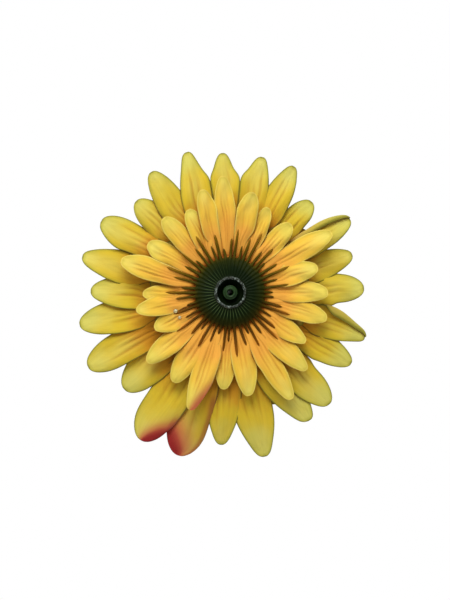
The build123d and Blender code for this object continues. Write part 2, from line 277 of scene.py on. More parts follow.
def petal_creases(v, share, width, rng):
    """Two or three pressed lines that fan out from the root and fade before the tip."""
    creases = np.zeros_like(share * v)
    count = rng.choice((2, 3, 3))
    spread = rng.uniform(0.34, 0.46)
    for k in range(count):
        home = (k - (count - 1) / 2) * spread * CREASE_SPREAD[count] / CREASE_SPREAD[3]
        home += rng.uniform(-0.06, 0.06)
        drift = home * (0.55 + 0.45 * share)
        end = rng.uniform(0.72, 0.95)
        depth = rng.uniform(0.6, 1.0)
        fade = smooth(0.04, 0.3, share) * (1 - smooth(end - 0.25, end, share))
        creases += depth * np.exp(-(((v - drift) / width) ** 2)) * fade
    return creases


def petal_lift(petal, v, share, half, swell, cup, creases, style, rng):
    """How far the cloth stands in front of its sheet's curve. What bends a petal sideways fades where
    it is joined to its neighbours."""
    direction, along = petal["direction"], petal["stations"][:, None]
    open_left = smooth(petal["slit_left"], petal["slit_left"] + SLIT_FREEDOM, along)
    open_right = smooth(petal["slit_right"], petal["slit_right"] + SLIT_FREEDOM, along)
    freedom = np.where(v > 0, 1 - v + v * open_left, 1 + v - v * open_right)
    offset = v * half / half.max()
    lift = -cup * np.abs(offset) ** 2.6 * swell
    lift = lift - style["crease_depth"] * creases * (0.5 + 0.5 * freedom) * (0.4 + 0.6 * swell)
    phase = sin(direction * 5 + 1) * pi
    lift = lift + style["ripple"] * offset * np.sin(2.2 * pi * share + phase) * swell
    side_tilt = -copysign(min(1, abs(cos(direction)) * 3), cos(direction))
    lift = lift + style["roll"] * side_tilt * rng.uniform(0.7, 1.2) * offset * swell
    lift = lift * freedom
    lift = lift + style["bend"] * rng.uniform(-1, 1) * share**2.4
    lift = lift + 0.3 * swell * np.sin(pi * (1.3 * offset + 3 * share + direction))
    lift = lift + style["step"] * petal["parity"] * smooth(0.1, 0.6, share)
    return lift - style["sink"] * smooth(0.0, 0.5, share)


def curled(petal, v, share, half, across, lift):
    """Rolls a petal's listed edges over. Returns the moved "across" and "lift", and the painted shade
    along the curled edges.
    """
    fold_shade = np.zeros_like(share * v)
    for side, degrees, start, onset, stain_and_shade in petal["curls"]:
        angle = radians(abs(degrees)) * smooth(start, min(start + 0.3, 0.98), share) + 0.001
        beyond = np.clip(side * v - onset, 0, None) / (1 - onset)
        width = half * (1 - onset)
        bow = width / np.sin(np.minimum(angle, pi / 2))
        across = across + side * (bow * np.sin(beyond * angle) - width * beyond)
        lift = lift + copysign(CURL_DEPTH, degrees) * bow * (1 - np.cos(beyond * angle))
        # Painted shade along the curled strip, olive or brown as the curl's last column says
        fold_shade = fold_shade + stain_and_shade * smooth(0.0, 0.5, beyond) * smooth(0.1, 1.2, angle)
    return across, lift, fold_shade


def cloth_grain(along, across, direction):
    """Slow noise over a petal, longer along it than across it."""
    rows = []
    for a, line in zip(along[:, 0], across):
        rows.append([soft_noise(a * 0.35, b * 0.9, direction * 9) for b in line])
    return np.array(rows)


def petal_blush(petal, v, share):
    """How red the cloth is at each point."""
    blush = np.zeros_like(share * v)
    for side, start, strength, lean in petal["blushes"]:
        reach_in = (share - start) / (1 - start) + lean * (side * v - 0.1)
        stain_and_shade = strength * smooth(0.0, 1.25, reach_in) * smooth(start - 0.25, start + 0.15, share)
        blush = np.maximum(blush, stain_and_shade)
    return blush


def petal_grid(curve, petal, columns, style, rng):
    """One petal's front surface as rows of points, with the values its cloth needs at each point."""
    direction, along = petal["direction"], petal["stations"][:, None]
    share = (along - along[0]) / (along[-1] - along[0])
    v = np.linspace(-1, 1, columns)[None, :]
    left, right = petal["left"][:, None], petal["right"][:, None]
    middle, half = (left - right) / 2, (left + right) / 2
    swell = smooth(0.0, 0.45, share)
    cup = style["cup"] * rng.uniform(0.7, 1.3)
    creases = petal_creases(v, share, style["crease_width"], rng)
    lift = petal_lift(petal, v, share, half, swell, cup, creases, style, rng)
    across, lift, fold_shade = curled(petal, v, share, half, middle + v * half, lift)
    grain = cloth_grain(along, across, direction)
    rise = curve(np.hypot(along, across)) + lift + GRAIN_HEIGHT * grain * swell
    x, z = turned(along, across, direction)
    uv = (np.broadcast_to((v + 1) / 2, x.shape), np.broadcast_to(share, x.shape))
    return {
        "points": np.stack([x, -rise, z], axis=-1),
        "uv": np.stack(uv, axis=-1),
        "crease_shade": creases,
        "blush": petal_blush(petal, v, share),
        "fold_shade": fold_shade,
        "inset": np.minimum(half * (1 - np.abs(v)), (along[-1] - along) * 0.8),
        "tone": np.full_like(x, petal["tone"]),
    }


def measured_petals(node, tree, style, rng):
    """Every petal of a CAD sheet, with its outline measured off the sheet."""
    found = tips(node, PETAL_WINDOW, 0.5 * radius_and_rise(node)[0].max())
    low, high = style["slits"]
    slit_after = []
    for i, (direction, _) in enumerate(found):
        following = found[(i + 1) % len(found)][0]
        depth = rng.uniform(low, high)
        slit_after.append(high + JOINED_EXTRA if is_joined(direction, following) else depth)
    root = style["root"]
    crowded = 1 - (1 - np.linspace(0, 1, style["grid"][0])) ** ROW_CROWDING
    petals = []
    for i, (direction, reach) in enumerate(found):
        stations = root + (reach - TIP_TRIM - root) * crowded
        sides = ((found[(i + 1) % len(found)], 1, slit_after[i]), (found[i - 1], -1, slit_after[i - 1]))
        left, right = [
            half_widths(tree, direction, other, side, stations, slit, style["closed"] * min(reach, far))
            for (other, far), side, slit in sides
        ]
        petals.append(
            {
                "direction": direction,
                "reach": reach,
                "stations": stations,
                "slit_left": slit_after[i],
                "slit_right": slit_after[i - 1],
                "left": left,
                "right": right,
                "parity": 1 if i % 2 else -1,
                "tone": rng.uniform(-1, 1),
                "blushes": listed(BLUSHES, node, direction),
                "curls": listed(CURLS, node, direction),
            }
        )
    return petals


def web_grid(curve, inner, outer, count):
    """The ring of cloth that the petals grow from."""
    radii = np.linspace(inner, outer, WEB_ROWS)[:, None]
    around = np.linspace(0, 2 * pi, count + 1)[None, :]
    x, z = radii * np.cos(around), radii * np.sin(around)
    blank = np.zeros_like(x)
    grid = dict.fromkeys(("crease_shade", "blush", "fold_shade", "tone"), blank)
    grid["inset"] = blank + WEB_INSET
    grid["uv"] = np.stack([blank + 0.5, blank], axis=-1)
    grid["points"] = np.stack([x, -curve(radii) + blank, z], axis=-1)
    return grid


def grid_faces(rows, columns, start=0, ring=True, flipped=False):
    """Faces between rows of points, each row to the next. In a ring, each row closes on itself."""
    faces = []
    for r in range(rows - 1):
        for c in range(columns if ring else columns - 1):
            a, b = start + r * columns + c, start + r * columns + (c + 1) % columns
            faces.append((a, b, b + columns, a + columns) if flipped else (a, a + columns, b + columns, b))
    return faces


def mesh_of_grids(name, grids):
    """One mesh from several grids of points. The last grid is a ring, so its ends are joined."""
    points, faces, uvs = [], [], []
    values = {"crease_shade": [], "blush": [], "fold_shade": [], "inset": [], "tone": []}
    start = 0
    for number, grid in enumerate(grids):
        rows, columns, _ = grid["points"].shape
        ring = number == len(grids) - 1
        used = columns - 1 if ring else columns
        points.append(grid["points"][:, :used].reshape(-1, 3))
        uvs.append(grid["uv"][:, :used].reshape(-1, 2))
        for key, lists in values.items():
            lists.append(grid[key][:, :used].reshape(-1))
        faces += grid_faces(rows, used, start, ring)
        start += rows * used
    mesh = bpy.data.meshes.new(name)
    mesh.from_pydata((np.concatenate(points) * MM).tolist(), [], faces)
    layer = mesh.uv_layers.new(name="UVMap")
    corners = np.empty(len(mesh.loops), dtype=int)
    mesh.loops.foreach_get("vertex_index", corners)
    layer.data.foreach_set("uv", np.concatenate(uvs)[corners].astype(np.float32).reshape(-1))
    for key, lists in values.items():
        attribute = mesh.attributes.new(key, "FLOAT", "POINT")
        attribute.data.foreach_set("value", np.concatenate(lists).astype(np.float32))
    mesh.shade_smooth()
    mesh.update()
    return mesh


def add_object(name, data):
    thing = bpy.data.objects.new(name, data)
    bpy.context.scene.collection.objects.link(thing)
    return thing


def finish_piece(name, mesh, materials, node):
    """Puts a mesh in the scene, on the flower, in place of the CAD node it stands for."""
    piece = add_object(name, mesh)
    for material in materials:
        mesh.materials.append(material)
    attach(piece, "flower")
    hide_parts(node)
    return piece


def petal_sheet(node, cloths, style):
    """A cloth sheet with all its petals, thick as cloth, in place of its CAD node."""
    rng = random.Random(style["seed"])
    tree = cad_surface(node)
    petals = measured_petals(node, tree, style, rng)
    curve = sheet_curve(tree, [(p["direction"], p["reach"]) for p in petals])
    grids = [petal_grid(curve, petal, style["grid"][1], style, rng) for petal in petals]
    hole = radius_and_rise(node)[0].min()
    grids.append(web_grid(curve, hole, style["root"] + WEB_OVERLAP, 4 * len(petals)))
    name = node + "_cloth"
    piece = finish_piece(name, mesh_of_grids(name, grids), cloths, node)
    thick = piece.modifiers.new("thickness", "SOLIDIFY")
    thick.thickness = SHEET_THICKNESS * MM
    thick.offset = -1
    thick.material_offset = 1
    thick.material_offset_rim = 2
    return piece


# ---- materials
class Graph:
    """Builds a material's or world's nodes: each add() makes one, and sets or links its inputs."""

    def __init__(self, owner):
        self.owner = owner
        owner.use_nodes = True
        self.tree = owner.node_tree
        self.tree.nodes.clear()

    def add(self, kind, inputs=None, **settings):
        node = self.tree.nodes.new("ShaderNode" + kind)
        for key, value in settings.items():
            setattr(node, key, value)
        for key, value in (inputs or {}).items():
            if isinstance(value, bpy.types.NodeSocket):
                self.tree.links.new(value, node.inputs[key])
            else:
                node.inputs[key].default_value = value
        return node

    def math(self, operation, a, b=0.0, clamp=False):
        return self.add("Math", {0: a, 1: b}, operation=operation, use_clamp=clamp).outputs[0]

    def product(self, first, *others):
        for other in others:
            first = self.math("MULTIPLY", first, other)
        return first

    def mix(self, factor, a, b, blend="MIX"):
        """Mixes two colours, each a socket or (red, green, blue)."""
        a, b = [(*c, 1) if isinstance(c, tuple) else c for c in (a, b)]
        return self.add("Mix", {0: factor, 6: a, 7: b}, data_type="RGBA", blend_type=blend).outputs[2]

    def multiply(self, a, b):
        return self.mix(1.0, a, b, "MULTIPLY")

    def ramp(self, factor, stops, interpolation="EASE"):
        node = self.add("ValToRGB", {0: factor})
        node.color_ramp.interpolation = interpolation
        elements = node.color_ramp.elements
        while len(elements) < len(stops):
            elements.new(0.5)
        for element, (position, colour) in zip(elements, stops):
            element.position = position
            element.color = (*colour, 1)
        return node.outputs[0]

    def noise(self, vector, scale, detail=3.0, roughness=0.5):
        inputs = {"Vector": vector, "Scale": scale, "Detail": detail, "Roughness": roughness}
        return self.add("TexNoise", inputs).outputs[0]

    def band(self, value, low, high):
        """0 at low and 1 at high, with an even S between."""
        inputs = {0: value, 1: low, 2: high}
        return self.add("MapRange", inputs, interpolation_type="SMOOTHSTEP").outputs[0]

    def stretched(self, vector, scale):
        return self.add("Mapping", {"Vector": vector, "Scale": scale}).outputs[0]

    def bump(self, height, strength, distance, normal=None):
        inputs = {"Height": height, "Strength": strength, "Distance": distance}
        if normal is not None:
            inputs["Normal"] = normal
        return self.add("Bump", inputs).outputs[0]

    def place(self):
        return self.add("TexCoord").outputs["Object"]

    def attribute(self, name):
        return self.add("Attribute", attribute_name=name).outputs["Fac"]

    def principled(self, inputs):
        return self.add("BsdfPrincipled", inputs).outputs[0]

    def white_to_camera(self, kind, shader):
        """The shader for all light but the camera's own rays, which see plain white."""
        white = self.add(kind, {"Color": (1, 1, 1, 1)}).outputs[0]
        camera_ray = self.add("LightPath").outputs["Is Camera Ray"]
        return self.add("MixShader", {0: camera_ray, 1: shader, 2: white}).outputs[0]

    def output(self, shader):
        self.add("OutputMaterial", {"Surface": shader})
        return self.owner


def material_graph(name):
    return Graph(bpy.data.materials.new(name))


def rgb(red, green, blue):
    """A screen colour of 0 to 255 a channel, as linear light."""
    channels = (red, green, blue)
    return tuple(((c / 255 + 0.055) / 1.055) ** 2.4 if c > 10 else c / 3294.6 for c in channels)


def dye_and_highlight(g, place, uv, tone, root, middle, tip):
    """The dye: it runs from root to tip, streaked, with patches of the root's colour, and a painted
    highlight: paler parts down the middle of the petal towards the tip."""
    centred = g.math("SUBTRACT", g.product(uv[0], 2.0), 1.0)
    mottle = g.noise(place, 90.0, 3.0)
    uneven = g.math("ADD", g.product(mottle, 0.45), g.product(tone, 0.05))
    shifted = g.math("SUBTRACT", g.math("ADD", uv[1], uneven), 0.225)
    colour = g.ramp(shifted, ((0.0, root), (0.36, root), (0.66, middle), (1.0, tip)))

    lines = {0: g.product(centred, 5.0), 1: g.product(uv[1], 1.6), 2: tone}
    streak = g.noise(g.add("CombineXYZ", lines).outputs[0], 2.4, 4.0, 0.6)
    light = g.math("ADD", 0.86, g.product(streak, 0.28))
    light = g.math("ADD", light, g.product(tone, 0.035))
    colour = g.multiply(colour, g.add("CombineXYZ", {0: light, 1: light, 2: light}).outputs[0])

    patches = g.product(g.band(g.noise(place, 65.0, 2.0), 0.5, 0.7), g.band(uv[1], 0.8, 0.35), 0.45)
    colour = g.mix(patches, colour, root)
    # Painted highlight: paler, in spots, down the middle of the petal towards its tip
    inside = g.band(g.math("ABSOLUTE", centred), 0.8, 0.1)
    spots = g.band(g.noise(place, 55.0, 2.0), 0.35, 0.65)
    painted_highlight = g.product(inside, g.band(uv[1], 0.35, 0.7), spots, 0.25)
    return g.mix(painted_highlight, colour, rgb(228, 216, 120))


def shaded_and_blushed(g, colour, uv, edge, rim, crease_shade):
    """What shows where on a petal: painted shade in the creases, along the edges and on curled edges, a
    paler rim line on the inner petals, and the red blush.
    """
    # Painted shade in the creases: the crease colour, darker and more orange, along the pressed lines
    colour = g.mix(g.math("MULTIPLY", g.attribute("crease_shade"), 0.5, clamp=True), colour, crease_shade)
    # Painted shade along the edges, strongest towards the tip: the edge colour in a band, then a thin rim
    # line, dark olive on the outer petals where their edges curve back; on the inner petals the rim line
    # is paler
    inset = g.attribute("inset")
    edge_shade = g.product(g.band(inset, 1.5, 0.2), g.band(uv[1], 0.25, 0.9), 0.6)
    colour = g.mix(edge_shade, colour, edge)
    edging = g.mix(g.band(uv[1], 0.2, 0.5), crease_shade, rim)
    colour = g.mix(g.product(g.band(inset, 0.55, 0.2), 0.75), colour, edging)
    # Painted shade on curled edges: olive where the curl's value is 1, brown where it is -1
    fold_shade = g.attribute("fold_shade")
    colour = g.mix(g.product(g.band(fold_shade, 0.0, 1.0), 0.3), colour, rgb(164, 152, 40))
    colour = g.mix(g.product(g.band(fold_shade, 0.0, -1.0), 0.8), colour, rgb(160, 96, 38))
    blush = g.attribute("blush")
    reds = g.ramp(blush, ((0.0, rgb(206, 150, 70)), (0.55, rgb(190, 92, 62)), (1.0, rgb(144, 30, 28))))
    return g.mix(g.math("MULTIPLY", blush, 1.3, clamp=True), colour, reds)


def shaded_in_gaps(g, colour):
    """Painted shade: warmer and darker in the gaps between petals, widely and then closely, where an
    ambient occlusion node finds them.
    """
    for reach, dark in ((0.0045, rgb(230, 172, 104)), (0.0014, rgb(156, 140, 106))):
        open_share = g.add("AmbientOcclusion", {"Distance": reach}, samples=6).outputs["AO"]
        colour = g.mix(g.band(open_share, 0.8, 0.2), colour, g.multiply(colour, dark))
    return colour


def woven(g, place):
    """The cloth's normal: two crossing sets of threads, and a slight fuzz."""
    threads = []
    for direction in ("X", "Z"):
        inputs = {"Vector": place, "Scale": 320.0, "Distortion": 1.2, "Detail": 1.0}
        threads.append(g.add("TexWave", inputs, bands_direction=direction).outputs[1])
    normal = g.bump(g.product(*threads), 0.10, 0.0001)
    return g.bump(g.noise(place, 420.0, 4.0, 0.6), 0.18, 0.00025, normal)


def cloth(name, root, middle, tip, edge, rim, crease_shade, glow):
    """Dyed polyester cloth, thin enough for the share "glow" of the light to come through."""
    g = material_graph(name)
    place = g.place()
    uv = g.add("SeparateXYZ", {0: g.add("UVMap").outputs[0]}).outputs
    colour = dye_and_highlight(g, place, uv, g.attribute("tone"), root, middle, tip)
    colour = shaded_in_gaps(g, shaded_and_blushed(g, colour, uv, edge, rim, crease_shade))
    normal = woven(g, place)
    front = g.principled(
        {
            "Base Color": colour,
            "Roughness": 0.82,
            "Sheen Weight": 0.12,
            "Sheen Roughness": 0.5,
            "Specular IOR Level": 0.18,
            "Normal": normal,
        }
    )
    lit = g.multiply(colour, (1.0, 0.86, 0.55))
    through = g.add("BsdfTranslucent", {"Color": lit, "Normal": normal}).outputs[0]
    return g.output(g.add("MixShader", {0: glow, 1: front, 2: through}).outputs[0])


def plastic(name, colour, other, roughness, mottle_scale=260.0, bump=0.25):
    """Moulded plastic: a slightly uneven colour, a soft grain and patchy gloss."""
    g = material_graph(name)
    place = g.place()
    mottle = g.noise(place, mottle_scale, 4.0, 0.55)
    grain = g.noise(place, mottle_scale * 6, 3.0, 0.6)
    inputs = {
        "Base Color": g.mix(mottle, colour, other),
        "Roughness": g.math("ADD", roughness - 0.1, g.product(mottle, 0.2)),
        "Specular IOR Level": 0.2,
        "Normal": g.bump(grain, bump, 0.0001),
    }
    return g.output(g.principled(inputs))


def steel(name, colour, roughness, brushed=(40.0, 700.0, 700.0)):
    """Nickel-plated sheet steel: fine drawn lines, finger marks and a slightly wavy face."""
    g = material_graph(name)
    place = g.place()
    lines = g.noise(g.stretched(place, brushed), 8.0, 4.0, 0.65)
    smears = g.noise(place, 140.0, 3.0, 0.5)
    marks = g.product(g.math("ADD", smears, lines), 0.5)
    wavy = g.bump(g.noise(place, 90.0, 1.0), 0.5, 0.0015)
    inputs = {
        "Base Color": g.mix(g.band(marks, 0.35, 0.7), colour, tuple(0.6 * c for c in colour)),
        "Metallic": 1.0,
        "Roughness": g.math("ADD", roughness, g.product(marks, 0.2)),
        "Normal": g.bump(lines, 0.3, 0.00005, wavy),
    }
    return g.output(g.principled(inputs))


def felt(name, colour, other):
    """Needled felt: matted fibres that catch the light."""
    g = material_graph(name)
    place = g.place()
    fibres = g.noise(g.stretched(place, (1.0, 1.0, 3.2)), 700.0, 6.0, 0.75)
    crossing = g.noise(g.stretched(place, (3.0, 1.0, 1.0)), 640.0, 6.0, 0.75)
    lint = g.product(fibres, crossing)
    base = g.ramp(lint, ((0.12, colour), (0.42, other)), "LINEAR")
    patches = g.product(g.noise(place, 110.0, 3.0), 0.35)
    inputs = {
        "Base Color": g.mix(patches, base, tuple(0.5 * c for c in colour)),
        "Roughness": 0.95,
        "Sheen Weight": 0.2,
        "Sheen Roughness": 0.45,
        "Specular IOR Level": 0.05,
        "Normal": g.bump(lint, 0.9, 0.0005),
    }
    return g.output(g.principled(inputs))


def glue(name, colour, clear):
    """Set hot glue: milky or clear, glossy, with faint clouds."""
    g = material_graph(name)
    clouds = g.noise(g.place(), 320.0, 3.0, 0.5)
    inputs = {
        "Base Color": g.mix(clouds, colour, tuple(0.86 * c for c in colour)),
        "Roughness": 0.16,
        "Transmission Weight": clear,
        "IOR": 1.48,
        "Subsurface Weight": 0.4 * (1 - clear),
        "Subsurface Radius": (0.002, 0.0018, 0.0014),
        "Subsurface Scale": 1.0,
        "Normal": g.bump(clouds, 0.2, 0.0004),
    }
    return g.output(g.principled(inputs))


# ---- centre
SAME_PLACE = 0.0001
FINGER_WINDOW = radians(5)
FINGER_SIDES = 8
FINGER_ROWS = 14
FINGER_ROOT = 3.2
FINGER_RISE = 0.35
RIDGE_SAMPLES = 14
DISC_ROWS = 16
DISC_TRIM = 0.7
DISC_PROBE = 0.05
DISC_EDGE = 0.6
RIM_SIZE = 0.35
CROWN_BULGE = 0.35
COLLAR_FOOT = 0.35
COLLAR_SEAM = 0.1
PEG_SEGMENTS = 72


def lathe(profile, segments, shift):
    """Points and faces of a (radius, rise) outline turned about the flower's axis. The outline is
    closed, unless it starts and ends on the axis. shift takes an angle, a radius and a rise, and
    returns the last two moved."""
    outline = profile if profile[0][0] == 0 else profile + profile[:1]
    points = []
    for radius, rise in outline:
        for k in range(segments):
            angle = 2 * pi * k / segments
            moved_radius, moved_rise = shift(angle, radius, rise)
            x, z = turned(moved_radius, 0, angle)
            points.append((x, -moved_rise, z))
    return points, grid_faces(len(outline), segments)


def plain_piece(name, parts, materials, node):
    """One smooth-shaded piece from several (points, faces) in millimetres. Points in one place are
    joined, which leaves no empty faces where a surface closes on itself."""
    points, faces = [], []
    for some_points, some_faces in parts:
        start = len(points)
        points.extend(some_points)
        faces.extend(tuple(start + i for i in face) for face in some_faces)
    mesh = bpy.data.meshes.new(name)
    mesh.from_pydata((np.array(points) * MM).tolist(), [], faces)
    shape = bmesh.new()
    shape.from_mesh(mesh)
    bmesh.ops.remove_doubles(shape, verts=shape.verts, dist=SAME_PLACE * MM)
    shape.to_mesh(mesh)
    shape.free()
    mesh.shade_smooth()
    mesh.update()
    return finish_piece(name, mesh, materials, node)


def arc(middle_radius, middle_rise, size, start, end, count):
    """Points round part of a circle in an outline, angles in degrees."""
    angles = [radians(start + (end - start) * k / (count - 1)) for k in range(count)]
    return [(middle_radius + size * cos(a), middle_rise + size * sin(a)) for a in angles]


def boss_sizes():
    """The centre's sizes, measured off its CAD node."""
    radius, rise = radius_and_rise("stamen_boss")
    tree = cad_surface("stamen_boss")
    collar = radius[rise > rise.max() - 0.01]
    fingers = tips("stamen_boss", FINGER_WINDOW, collar.max() + 6)
    between = (fingers[0][0] + fingers[1][0]) / 2

    disc_radius = collar.max()
    while front_rise(tree, disc_radius, 0, between) is not None:
        disc_radius += DISC_PROBE
    disc_radius -= DISC_TRIM
    well = (collar.min() + radius.min()) / 2
    return {
        "collar_front": rise.max(),
        "collar_outer": collar.max(),
        "collar_inner": collar.min(),
        "hole": radius.min(),
        "rear": rise.min(),
        "well_floor": front_rise(tree, well, 0, 0),
        "disc_radius": disc_radius,
        "crown": front_rise(tree, collar.max() + 0.1, 0, 0),
        "brim": front_rise(tree, disc_radius - 0.2, 0, between),
        "fingers": fingers,
    }


def finger_mesh(sizes, direction, reach, petals, rng):
    """A rounded finger with a blunt tip, that runs down off the disc and lies along the petals."""
    edge = sizes["disc_radius"]
    start = edge - FINGER_ROOT
    sway = rng.uniform(-0.5, 0.5)
    width = rng.uniform(0.85, 1.15)
    shares = np.linspace(0, 1, FINGER_ROWS)
    along = start + (reach - start) * shares
    blunt = rng.uniform(0.7, 0.92)
    taper = np.sqrt(np.clip(1 - np.clip((shares - blunt) / (1 - blunt), 0, None) ** 2, 0.02, 1))
    half = (0.36 + 0.22 * (1 - shares)) * width * taper
    thick = (0.44 - 0.16 * shares) * taper
    bend = sway * shares**2

    def highest(i):
        """The petals' greatest rise under the finger."""
        found = [sizes["rear"]]
        for across in bend[i] + np.linspace(-1.2, 1.2, 5) * half[i]:
            rise = front_rise(petals, along[i], across, direction)
            if rise is not None:
                found.append(rise)
        return max(found)

    under = np.array([highest(i) for i in range(FINGER_ROWS)])
    under = np.maximum(under, np.maximum(np.roll(under, 1), np.roll(under, -1)))
    under = evened(under, 1, 1)
    on_disc = sizes["brim"] + 0.1
    middle = on_disc + (under + FINGER_RISE * thick - on_disc) * smooth(edge - 1.4, edge + 2.8, along)
    points = []
    for i in range(FINGER_ROWS):
        for k in range(FINGER_SIDES):
            around = 2 * pi * k / FINGER_SIDES
            x, z = turned(along[i], bend[i] + half[i] * cos(around), direction)
            points.append((x, -middle[i] - thick[i] * sin(around), z))
    faces = grid_faces(FINGER_ROWS, FINGER_SIDES)
    faces.append(tuple(range(FINGER_SIDES)))
    faces.append(tuple(reversed(range(len(points) - FINGER_SIDES, len(points)))))
    return points, faces


def boss_profile(sizes):
    """The centre's outline: rear, rim, crowned disc, collar and well."""
    outer, inner, hole = sizes["collar_outer"], sizes["collar_inner"], sizes["hole"]
    edge, brim, floor = sizes["disc_radius"], sizes["brim"], sizes["well_floor"]
    lip = (outer - inner) / 2
    profile = [(hole, sizes["rear"]), (hole + 3.5, sizes["rear"])]
    profile += [(edge - 1.0, brim - 0.9), (edge, brim - 0.75)]
    profile += arc(edge - RIM_SIZE, brim - RIM_SIZE, RIM_SIZE, -30, 80, 5)
    for i in range(DISC_ROWS):
        radius = edge - DISC_EDGE - (edge - DISC_EDGE - outer - 0.15) * i / (DISC_ROWS - 1)
        share = (radius - outer) / (edge - outer)
        crown = sizes["crown"] + (brim - sizes["crown"]) * share + CROWN_BULGE * sin(pi * share)
        profile.append((radius, crown))
    profile += arc(inner + lip, sizes["collar_front"] - lip, lip, 0, 180, 9)
    return profile + [(inner, floor + 0.3), (inner - 0.3, floor), (hole, floor)]


def centre_boss(sizes, petals):
    """The ribbed disc with its rough collar and well, and the fringe of fingers."""
    rng = random.Random(21)
    count = len(sizes["fingers"])
    first = sizes["fingers"][0][0]
    outer = sizes["collar_outer"]

    def shift(angle, radius, rise):
        """Ribs on the disc, and torn edges on the collar."""
        if radius > outer + COLLAR_SEAM:
            ridge = 0.5 + 0.5 * cos(count * (angle - first))
            share = (radius - outer) / (sizes["disc_radius"] - outer)
            if rise > sizes["brim"] - 0.8:
                rise += (0.16 + 0.16 * share) * (ridge - 0.5) * min(1, 6 * share)
            radius += 0.5 * (ridge - 0.4) * max(0, (share - 0.6) / 0.4) ** 2
            return radius, rise
        if rise > sizes["crown"]:
            x, z = turned(1, 0, angle)
            rough = soft_noise(x * 3.1, z * 3.1, rise * 2 + radius)
            fine = soft_noise(x * 11, z * 11, radius * 3)
            climb = (rise - sizes["crown"]) / (sizes["collar_front"] - sizes["crown"])
            return radius + 0.09 * fine * climb, rise + (0.16 * rough + 0.07 * fine) * climb
        return radius, rise

    parts = [lathe(boss_profile(sizes), count * RIDGE_SAMPLES, shift)]
    for direction, reach in sizes["fingers"]:
        parts.append(finger_mesh(sizes, direction, reach, petals, rng))
    materials = [bristle_plastic(float(count), first), rough_collar()]
    piece = plain_piece("centre_boss", parts, materials, "stamen_boss")
    for face in piece.data.polygons:
        middle = face.center / MM
        on_collar = hypot(middle.x, middle.z) < outer + 2 * COLLAR_SEAM
        if on_collar and -middle.y > sizes["crown"] + COLLAR_FOOT:
            face.material_index = 1


def bristle_plastic(ribs, first):
    """Near-black green plastic, with a painted highlight along its ribs near the collar on the lower left,
    that turns to olive and brown towards the fingers' tips, with painted shade, browner, on the lower
    part."""
    g = material_graph("bristle_plastic")
    place = g.place()
    axes = g.add("SeparateXYZ", {0: place}).outputs
    flat = g.add("CombineXYZ", {0: axes[0], 2: axes[2]}).outputs[0]
    radius = g.add("VectorMath", {0: flat}, operation="LENGTH").outputs["Value"]
    share = g.math("DIVIDE", radius, 0.025)
    mottle = g.noise(place, 420.0, 4.0, 0.6)
    greens = ((0.0, rgb(4, 12, 0)), (0.34, rgb(6, 18, 0)), (0.45, rgb(24, 30, 0)))
    browns = ((0.56, rgb(64, 54, 2)), (1.0, rgb(122, 88, 10)))
    uneven = g.product(g.math("SUBTRACT", mottle, 0.5), 0.12)
    base = g.ramp(g.math("ADD", share, uneven), greens + browns)
    around = g.math("ARCTAN2", axes[2], axes[0])
    wave = g.math("COSINE", g.product(g.math("SUBTRACT", around, first), ribs))
    near_collar = g.product(g.band(share, 0.2, 0.24), g.band(share, 0.44, 0.3))
    lower_left = g.math("DIVIDE", g.math("ADD", axes[0], axes[2]), radius)
    # Painted highlight: lighter crests of the ribs near the collar, on the lower left side
    painted_highlight = g.product(g.band(wave, 0.7, 1.0), near_collar, g.band(lower_left, 1.4, -1.0), 0.4)
    base = g.mix(painted_highlight, base, rgb(96, 116, 68))
    # Painted shade: browner and darker on the lower part, towards the disc's edge and the fingers
    lower = g.product(g.band(axes[2], 0.004, -0.01), g.band(share, 0.3, 0.55))
    base = g.mix(lower, base, g.multiply(base, (1.0, 0.62, 0.5)))
    inputs = {
        "Base Color": base,
        "Roughness": g.math("ADD", 0.42, g.product(mottle, 0.3)),
        "Specular IOR Level": 0.05,
        "Normal": g.bump(mottle, 0.35, 0.0002),
    }
    return g.output(g.principled(inputs))


def rough_collar():
    """The collar's torn moulding flash: dark green with painted dull white glints."""
    g = material_graph("collar_plastic")
    place = g.place()
    specks = g.noise(place, 1100.0, 5.0, 0.7)
    # Painted highlight: dull white glints in specks
    painted_glint = g.product(g.band(specks, 0.5, 0.6), g.band(g.noise(place, 260.0, 2.0), 0.3, 0.6), 0.8)
    inputs = {
        "Base Color": g.mix(painted_glint, rgb(10, 18, 6), rgb(130, 142, 134)),
        "Roughness": 0.35,
        "Specular IOR Level": 0.3,
        "Normal": g.bump(specks, 0.8, 0.0003),
    }
    return g.output(g.principled(inputs))


def peg():
    """The hollow peg: a tube with a rounded rim and a flange behind."""
    radius, rise = radius_and_rise("calyx_peg")
    bore, flange, front = radius.min(), radius.max(), rise.max()
    tube = radius[rise > front / 2].max()
    thick = rise[radius > tube + 1].max()
    lip = (tube - bore) / 2
    profile = [(bore, 0.05), (bore + 0.05, 0.0), (flange - 0.25, 0.0)]
    profile += arc(flange - 0.25, 0.25, 0.25, -90, 0, 4)
    profile += arc(flange - 0.35, thick - 0.35, 0.35, 0, 90, 4)
    profile += [(tube + 0.6, thick), (tube + 0.15, thick + 0.15)]
    profile += [(tube, thick + 0.6), (tube, front * 0.7)]
    profile += arc(tube - 0.3, front - 1.1, 0.3, 0, 100, 5)
    profile += [(bore + 1.15 * lip, front - 1.0), (bore + 1.15 * lip, front - 0.35)]
    profile += arc(bore + 0.55 * lip, front - 0.55 * lip, 0.55 * lip, 20, 180, 7)
    profile += [(bore, front * 0.7), (bore, front * 0.3)]

    def shift(angle, r, h):
        return r * (1 + 0.012 * soft_noise(cos(angle) * 2.4, sin(angle) * 2.4, h)), h

    green = plastic("peg_plastic", rgb(16, 36, 8), rgb(28, 54, 16), 0.45, 300.0, 0.2)
    plain_piece("peg_tube", [lathe(profile, PEG_SEGMENTS, shift)], [green], "calyx_peg")


